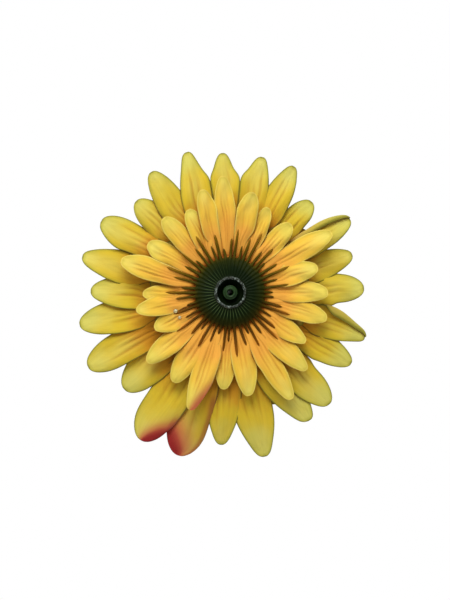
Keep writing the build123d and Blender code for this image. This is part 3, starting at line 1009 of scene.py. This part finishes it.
# ---- felt and glue
FELT_ROWS = 26
FELT_SEGMENTS = 160
GLUE_SEGMENTS = 120
BED_RINGS = 22
BED_SEGMENTS = 150
# How square the glue bed is: 2 would make it an ellipse
BED_SQUARENESS = 3.2
BED_MARGIN_LONG = 1.0
BED_MARGIN_WIDE = 1.3
BED_HEAP = 1.5
BEAD_ROWS = 10
BEAD_SEGMENTS = 20
BEAD_HEIGHT = 1.1
BEAD_SINK = 0.35


def disc_sizes(node):
    """A CAD disc's radius, and the rises of its front and rear faces."""
    radius, rise = radius_and_rise(node)
    return radius.max(), rise.max(), rise.min()


def felt_disc():
    """The felt disc, with soft matted faces and a cut edge."""
    radius, front, rear = disc_sizes("felt_pad")
    middle, soft = (front + rear) / 2, (front - rear) / 2
    radii = [(radius - soft) * i / FELT_ROWS for i in range(FELT_ROWS)]
    profile = [(r, rear) for r in radii]
    profile += arc(radius - soft * 0.6, middle, soft * 0.999, -90, 90, 9)
    profile += [(r, front) for r in reversed(radii)]

    def shift(angle, r, h):
        x, z = turned(r, 0, angle)
        wide = soft_noise(x * 0.35, z * 0.35, h * 0.6)
        fine = soft_noise(x * 1.9, z * 1.9, h * 2)
        inward = 1 if h < middle else -1
        edge = max(0.0, (r - radius + 2) / 2)
        return r + edge * (0.22 * wide + 0.14 * fine), h + inward * 0.09 * (0.6 + fine + 0.5 * wide)

    green = felt("felt", rgb(26, 52, 22), rgb(70, 104, 56))
    plain_piece("felt_disc", [lathe(profile, FELT_SEGMENTS, shift)], [green], "felt_pad")


def lumpy_disc(name, node, material, seed):
    """A squeezed-out disc of glue with a bulging, uneven edge."""
    radius, front, rear = disc_sizes(node)
    half = (front - rear) / 2
    radii = (0.0, radius * 0.5, radius * 0.85)
    profile = [(r, rear) for r in radii]
    profile += arc(radius - half, (front + rear) / 2, half, -80, 80, 7)
    profile += [(r, front) for r in reversed(radii)]

    def shift(angle, r, h):
        lobes = soft_noise(cos(angle) * 1.7 + seed, sin(angle) * 1.7, 0.3)
        return r * (1 + 0.14 * lobes * (r / radius) ** 3), h

    plain_piece(name, [lathe(profile, GLUE_SEGMENTS, shift)], [material], node)


def glue_bed(material):
    """Hot glue squeezed out round the base jaw: flat under the steel and heaped up against its sides."""
    low, high = (np.array(corner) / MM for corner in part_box("clip_glue"))
    jaw_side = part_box("clip_base_jaw")[1][2] / MM
    bottom, top = low[1], high[1]
    length, width = high[0] + BED_MARGIN_LONG, high[2] + BED_MARGIN_WIDE

    def outline(angle):
        """How far the bed reaches in a direction, as (x, z)."""
        x, z = turned(1, 0, angle)
        squared = (abs(x) ** BED_SQUARENESS + abs(z) ** BED_SQUARENESS) ** (-1 / BED_SQUARENESS)
        lobe = 1 + 0.16 * soft_noise(x * 2.2, z * 1.6, 4.0)
        return length * squared * x * (0.94 + 0.06 * lobe), width * squared * z * lobe

    def heaped(x, z, share):
        """The glue's surface: thin on the steel, heaped beside it and falling to the felt."""
        beside = abs(z) - jaw_side
        heap = BED_HEAP * exp(-max(0.0, beside) / 0.9) if beside > -0.25 else 0.12
        lump = 1 + 0.5 * soft_noise(x * 0.35, z * 0.6, 1.0)
        fall = 1 - float(smooth(0.93, 1.0, share))
        return bottom + (top - bottom + heap * lump * 0.8) * fall

    outlines = [outline(2 * pi * k / BED_SEGMENTS) for k in range(BED_SEGMENTS)]
    upper, lower = [], []
    for i in range(BED_RINGS + 1):
        share = i / BED_RINGS
        for reach_x, reach_z in outlines:
            x, z = reach_x * share, reach_z * share
            upper.append((x, heaped(x, z, share), z))
            lower.append((x, bottom - 0.05, z))
    faces = grid_faces(BED_RINGS + 1, BED_SEGMENTS, flipped=True)
    faces += grid_faces(BED_RINGS + 1, BED_SEGMENTS, len(upper))
    edge = BED_RINGS * BED_SEGMENTS
    for k in range(BED_SEGMENTS):
        a, b = edge + k, edge + (k + 1) % BED_SEGMENTS
        faces.append((a, b, len(upper) + b, len(upper) + a))
    plain_piece("glue_bed", [(upper + lower, faces)], [material], "clip_glue")


def bead(drop):
    """A squashed drop on the petals, in place of one made of these CAD points."""
    middle = (drop.max(0) + drop.min(0)) / 2
    base = drop[:, 1].max() + BEAD_SINK
    size = (drop[:, 0].max() - drop[:, 0].min()) / 2
    points = []
    for i in range(BEAD_ROWS + 1):
        tilt = pi * i / BEAD_ROWS
        rise = size * (0.5 - 0.5 * cos(tilt)) * BEAD_HEIGHT
        for k in range(BEAD_SEGMENTS):
            x, z = turned(1, 0, 2 * pi * k / BEAD_SEGMENTS)
            ring = size * sin(tilt) * (1 + 0.18 * soft_noise(x + size, z, tilt))
            points.append((middle[0] + ring * x, base - rise, middle[2] + ring * z))
    return points, grid_faces(BEAD_ROWS + 1, BEAD_SEGMENTS, flipped=True)


def clear_drops():
    """Two small drops of clear glue, told apart by their direction from the flower's axis."""
    points = vertices_mm("glue_drops")
    direction = np.arctan2(points[:, 2], points[:, 0])
    order = np.argsort(direction)
    split = int(np.diff(direction[order]).argmax()) + 1
    parts = [bead(points[order[:split]]), bead(points[order[split:]])]
    clear = glue("clear_glue", rgb(240, 228, 168), 0.6)
    plain_piece("clear_drops", parts, [clear], "glue_drops")


# ---- clip
WELD_DISTANCE = 0.002
BEVEL_SEGMENTS = 2


def dress(node, material, rounding):
    """A CAD node that keeps its shape, with its sharp edges rounded and a finished material."""
    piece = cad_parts[node]
    weld = piece.modifiers.new("weld", "WELD")
    weld.merge_threshold = WELD_DISTANCE * MM
    bevel = piece.modifiers.new("bevel", "BEVEL")
    bevel.width = rounding * MM
    bevel.segments = BEVEL_SEGMENTS
    bevel.limit_method = "ANGLE"
    bevel.angle_limit = radians(35)
    bevel.use_clamp_overlap = True
    bevel.harden_normals = True
    piece.data.materials.clear()
    piece.data.materials.append(material)


def spring_piece(material):
    """The torsion spring: a steel copy of its CAD node, in place of that node. On the real clip, one leg
    stays on the base jaw, the other goes with the lever, and the coil takes up the turn between them."""
    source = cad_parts["torsion_spring"]
    piece = source.copy()
    piece.data = source.data.copy()
    piece.name = "spring_wire"
    bpy.context.scene.collection.objects.link(piece)
    piece.parent = None
    piece.data.materials.clear()
    piece.data.materials.append(material)
    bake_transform(piece)
    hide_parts("torsion_spring")


# ---- light, floor and camera
PICTURE_SHARE = 0.507
AIM_RIGHT, AIM_UP = 1 / 240, 1 / 120
LENS, SENSOR = 85.0, 36.0
AZIMUTH, ELEVATION = radians(-3), radians(2)
# (name, place, size, power)
LIGHTS = (
    ("key", (-0.05, -0.24, 0.23), 0.22, 1.2),
    ("rear", (0.3, 0.7, 0.6), 0.4, 5.0),
    ("strip", (-0.45, 0.5, 0.1), 0.15, 1.5),
)
# Light from around, by height: (0 straight down and 1 straight up, brightness)
SKY = ((0.0, 0.12), (0.46, 0.3), (0.54, 0.75), (1.0, 1.0))
FLOOR_SIDE = 4.0
FLOOR_GAP = 0.004


def aimed_object(name, data, where, direction):
    """A camera or light that looks along a direction."""
    thing = add_object(name, data)
    thing.location = where
    thing.rotation_mode = "QUATERNION"
    thing.rotation_quaternion = direction.to_track_quat("-Z", "Y")
    return thing


def add_camera(centre, height):
    """The photograph's view. The flower fills PICTURE_SHARE of the picture's height, and the camera
    aims to the right of and above its middle by AIM_RIGHT and AIM_UP of that height."""
    picture = height / PICTURE_SHARE
    flat = cos(ELEVATION)
    back = Vector((sin(AZIMUTH) * flat, -cos(AZIMUTH) * flat, sin(ELEVATION)))
    aim = centre + Vector((AIM_RIGHT, 0, AIM_UP)) * picture
    aim.y = 0
    data = bpy.data.cameras.new("camera")
    data.lens = LENS
    data.sensor_width = SENSOR
    data.clip_start = 0.01
    where = aim + back * (picture * LENS / SENSOR)
    bpy.context.scene.camera = aimed_object("camera", data, where, -back)
    bpy.context.scene.view_settings.view_transform = "Standard"


def add_lights(centre):
    for name, where, size, power in LIGHTS:
        data = bpy.data.lights.new(name, "AREA")
        data.shape = "DISK"
        data.size = size
        data.energy = power
        aimed_object(name, data, where, centre - Vector(where))


def add_world():
    """A sky that lights the flower more from above than from below."""
    world = bpy.data.worlds.new("studio")
    bpy.context.scene.world = world
    g = Graph(world)
    up = g.add("SeparateXYZ", {0: g.add("TexCoord").outputs["Generated"]}).outputs[2]
    half_up = g.math("ADD", g.product(up, 0.5), 0.5)
    sky = g.ramp(half_up, [(position, (grey, grey, grey)) for position, grey in SKY], "LINEAR")
    lighting = g.add("Background", {"Color": sky}).outputs[0]
    g.add("OutputWorld", {"Surface": g.white_to_camera("Background", lighting)})


def add_floor(lowest):
    """A pale floor just below the flower."""
    side, z = FLOOR_SIDE, lowest - FLOOR_GAP
    mesh = bpy.data.meshes.new("floor")
    corners = [(-side, -side, z), (side, -side, z), (side, side, z), (-side, side, z)]
    mesh.from_pydata(corners, [], [(0, 1, 2, 3)])
    g = material_graph("floor")
    paint = g.principled({"Base Color": (0.4, 0.4, 0.4, 1), "Roughness": 0.9})
    mesh.materials.append(g.output(g.white_to_camera("Emission", paint)))
    add_object("floor", mesh)


# ---- build
OUTER_DYE = dict(root=rgb(206, 138, 26), middle=rgb(206, 176, 40), tip=rgb(196, 188, 84))
INNER_DYE = dict(root=rgb(226, 160, 60), middle=rgb(226, 182, 58), tip=rgb(214, 194, 80))
# The middle and back sheets show only in the shadow behind the front sheets, so their dark brown root and
# middle colours are painted shade; the tip colour is their dye
HIDDEN_DYE_AND_SHADE = dict(root=rgb(110, 66, 26), middle=rgb(140, 96, 34), tip=rgb(184, 164, 66))
# Colours of painted shade: in the creases, along the edges and, on the outer sheet, in a dark olive rim
# line and cut edge; the inner sheet's rim line and cut edge are paler
OUTER_EDGES = dict(edge=rgb(160, 154, 40), rim=rgb(116, 112, 30), crease_shade=rgb(170, 108, 20))
INNER_EDGES = dict(edge=rgb(188, 166, 54), rim=rgb(220, 196, 88), crease_shade=rgb(190, 122, 34))

# How each sheet is built: its material slot, the radius its petals start at, how far out the slits
# between them start, how far out they still touch, and how they are pressed and bent.
OUTER_STYLE = dict(
    slot="petal_outer", seed=5, grid=SEEN_GRID, root=15, slits=(24, 31), closed=0.74, cup=0.95,
    crease_depth=0.6, crease_width=0.065, ripple=0.4, roll=1.0, bend=1.6, step=0.3, sink=0.0,
)
INNER_STYLE = dict(
    slot="petal_inner", seed=11, grid=SEEN_GRID, root=11, slits=(14.5, 19), closed=0.72, cup=0.7,
    crease_depth=0.45, crease_width=0.075, ripple=0.3, roll=0.7, bend=1.3, step=0.25, sink=0.0,
)
MIDDLE_STYLE = dict(
    slot="petal_middle", seed=3, grid=HIDDEN_GRID, root=11, slits=(15, 19), closed=0.7, cup=0.4,
    crease_depth=0.15, crease_width=0.14, ripple=0.1, roll=0.3, bend=0.4, step=0.1, sink=1.7,
)
BACK_STYLE = dict(
    slot="petal_back", seed=9, grid=HIDDEN_GRID, root=15, slits=(24, 30), closed=0.7, cup=-0.5,
    crease_depth=-0.22, crease_width=0.12, ripple=0.2, roll=0.3, bend=0.5, step=0.1, sink=1.8,
)


def cloth_set(name, front, edges, glow, behind=None):
    """The three cloths of a sheet: its front, its paler back and its cut edge."""
    back = {key: tuple(0.8 * c + 0.06 for c in value) for key, value in (behind or front).items()}
    # The cut edge takes the rim colour: painted shade, dark olive, on the outer sheet, and paler on the
    # inner one
    cut = {key: edges["rim"] for key in (*front, *edges)}
    return [
        cloth(name, **front, **edges, glow=glow),
        cloth(name + "_back", **back, **edges, glow=glow),
        cloth(name + "_cut", **cut, glow=glow),
    ]


outer_cloths = cloth_set("cloth_outer", OUTER_DYE, OUTER_EDGES, 0.25)
inner_cloths = cloth_set("cloth_inner", INNER_DYE, INNER_EDGES, 0.25)
middle_cloths = cloth_set("cloth_middle", HIDDEN_DYE_AND_SHADE, OUTER_EDGES, 0.2)
back_cloths = cloth_set("cloth_back", HIDDEN_DYE_AND_SHADE, OUTER_EDGES, 0.2, OUTER_DYE)
inner_sheet = petal_sheet(INNER, inner_cloths, INNER_STYLE)
petal_sheet(OUTER, outer_cloths, OUTER_STYLE)
petal_sheet("petal_sheet_middle", middle_cloths, MIDDLE_STYLE)
petal_sheet("petal_sheet_back", back_cloths, BACK_STYLE)
centre_boss(boss_sizes(), surface(inner_sheet.data))
peg()
dress("sheet_spacer", plastic("spacer_plastic", rgb(58, 88, 40), rgb(76, 108, 52), 0.5), 0.25)

milky = glue("milky_glue", rgb(226, 216, 190), 0.0)
lumpy_disc("head_glue_squeeze", "head_glue", milky, 2.0)
felt_disc()
glue_bed(milky)
clear_drops()

nickel = steel("nickel_plate", (0.78, 0.77, 0.74), 0.16)
dress("clip_base_jaw", nickel, 0.12)
dress("clip_lever_jaw", nickel, 0.12)
dress("hinge_pin", steel("pin_nickel", (0.6, 0.59, 0.57), 0.22, (300.0, 300.0, 300.0)), 0.1)
spring_piece(steel("spring_wire_steel", (0.42, 0.42, 0.43), 0.25, (60.0, 60.0, 900.0)))

lowest, highest = cad_box
middle = (lowest + highest) / 2
add_camera(middle, highest.z - lowest.z)
add_lights(middle)
add_world()
add_floor(lowest.z)
